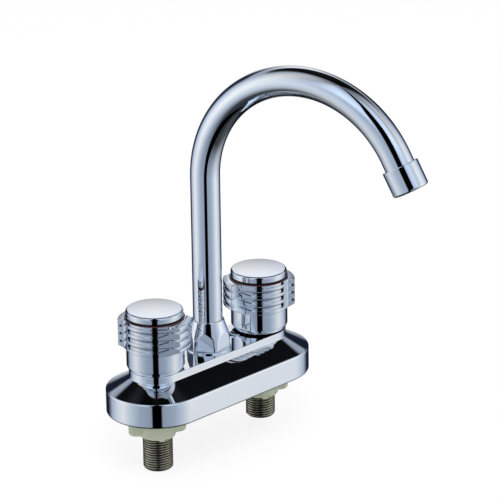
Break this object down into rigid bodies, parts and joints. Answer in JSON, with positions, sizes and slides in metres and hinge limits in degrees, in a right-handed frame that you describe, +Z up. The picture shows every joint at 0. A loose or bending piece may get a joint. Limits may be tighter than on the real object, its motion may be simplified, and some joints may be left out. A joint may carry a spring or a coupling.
{
  "type": "basin tap",
  "caption": "Centre-set basin tap: oval base, ribbed screw-down handles with blunt ears, and a swivelling gooseneck spout with an outlet collar.",
  "frame": {"origin": "middle of the base's underside, in the plane that rests on the basin", "axes": "+Z up; X along the line through the handles, the left handle at -X; the spout is over -Y"},
  "size_m": [0.1716, 0.2017, 0.2899],
  "materials": {
    "chrome": "polished",
    "brass": "machined",
    "threaded_brass": "aged bronze",
    "nut_plastic": "pale green",
    "plate_plastic": "dark",
    "ring_plastic": "dark red",
    "insert_plastic": "pale grey",
    "clip_plastic": "white",
    "rubber": "black",
    "fibre": "red fibre",
    "steel": "plain"
  },
  "bodies": {
    "body": {"base_cover": "chrome", "base_plate": "plate_plastic", "waterway": "brass", "left_shank": "threaded_brass", "right_shank": "threaded_brass", "left_mounting_nut": "nut_plastic", "right_mounting_nut": "nut_plastic", "spout_socket": "brass", "spout_boss_ring": "chrome", "spout_nut": "chrome", "left_gland_washer": "fibre", "left_headwork": "brass", "right_gland_washer": "fibre", "right_headwork": "brass"},
    "left_valve": {"left_jumper": "brass", "left_seat_washer": "rubber", "left_washer_screw": "brass"},
    "left_tap_handle": {"left_handle": "chrome", "left_spindle": "brass", "left_spindle_seals": "rubber", "left_handle_screw": "steel", "left_index_ring": "ring_plastic", "left_cap": "chrome"},
    "right_valve": {"right_jumper": "brass", "right_seat_washer": "rubber", "right_washer_screw": "brass"},
    "right_tap_handle": {"right_handle": "chrome", "right_spindle": "brass", "right_spindle_seals": "rubber", "right_handle_screw": "steel", "right_index_ring": "ring_plastic", "right_cap": "chrome"},
    "spout": {"spout_pipe": "chrome", "spout_tail": "brass", "spout_seals": "rubber", "spout_clip": "clip_plastic", "outlet_collar": "chrome", "tip_washer": "rubber", "flow_insert": "insert_plastic", "outlet_screen": "steel"}
  },
  "joints": [
    {"name": "left_valve_lift", "type": "slide", "parent": "body", "child": "left_valve", "axis": [0, 0, 1], "range_m": [0, 0.00375]},
    {"name": "left_handle_turn", "type": "hinge", "parent": "left_valve", "child": "left_tap_handle", "pos_m": [-0.0508, 0, 0.04], "axis": [0, 0, 1], "range_deg": [0, 900]},
    {"name": "right_valve_lift", "type": "slide", "parent": "body", "child": "right_valve", "axis": [0, 0, 1], "range_m": [-0.0011, 0.00265]},
    {"name": "right_handle_turn", "type": "hinge", "parent": "right_valve", "child": "right_tap_handle", "pos_m": [0.0508, 0, 0.04], "axis": [0, 0, 1], "range_deg": [-263, 637]},
    {"name": "spout_swivel", "type": "hinge", "parent": "body", "child": "spout", "pos_m": [0, 0, 0.04], "axis": [0, 0, 1], "continuous": true}
  ],
  "couplings": [
    {"joint": "left_valve_lift", "follows": "left_handle_turn", "m_per_rad": 0.00023873},
    {"joint": "right_valve_lift", "follows": "right_handle_turn", "m_per_rad": 0.00023873}
  ]
}
